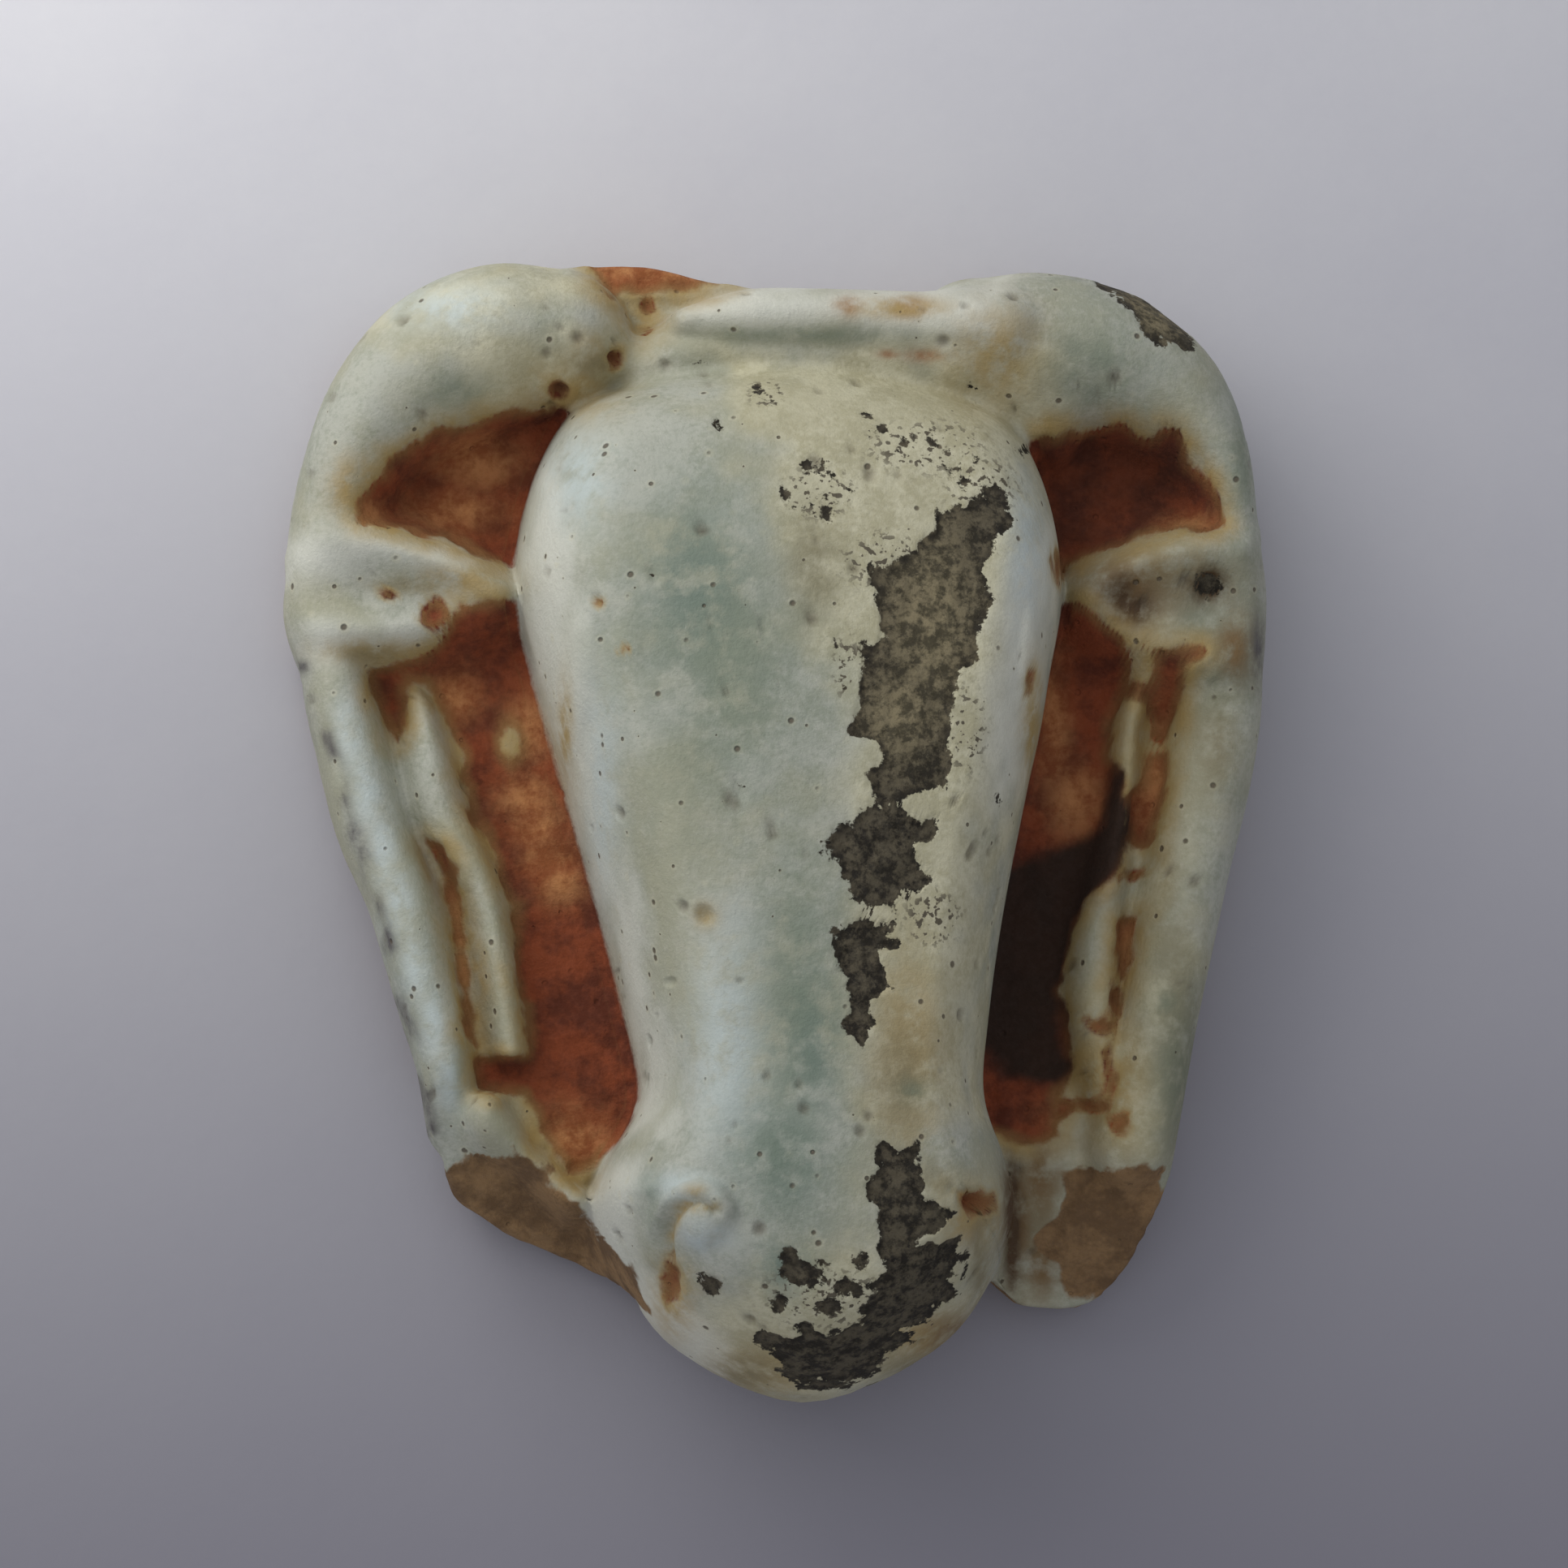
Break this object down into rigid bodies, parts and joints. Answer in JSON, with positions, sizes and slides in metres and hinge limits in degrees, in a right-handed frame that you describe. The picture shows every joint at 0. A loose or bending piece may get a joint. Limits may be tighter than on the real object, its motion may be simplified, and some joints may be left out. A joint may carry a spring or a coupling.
{
  "type": "ram head amulet",
  "caption": "Small worn ram's head amulet with curled horns, ears and side bands in raised relief, flat behind, lying on its back.",
  "frame": {"origin": "middle of the flat back, under the middle of the outline's box", "axes": "+Z out of the face, +Y towards the horns, -Y towards the muzzle, +X to the viewer's right"},
  "size_m": [0.026, 0.0302, 0.0098],
  "materials": {
    "glaze": "worn satin glaze, pale grey green, over a red brown body"
  },
  "bodies": {
    "root": {"ram_head_amulet": "glaze"}
  },
  "joints": []
}
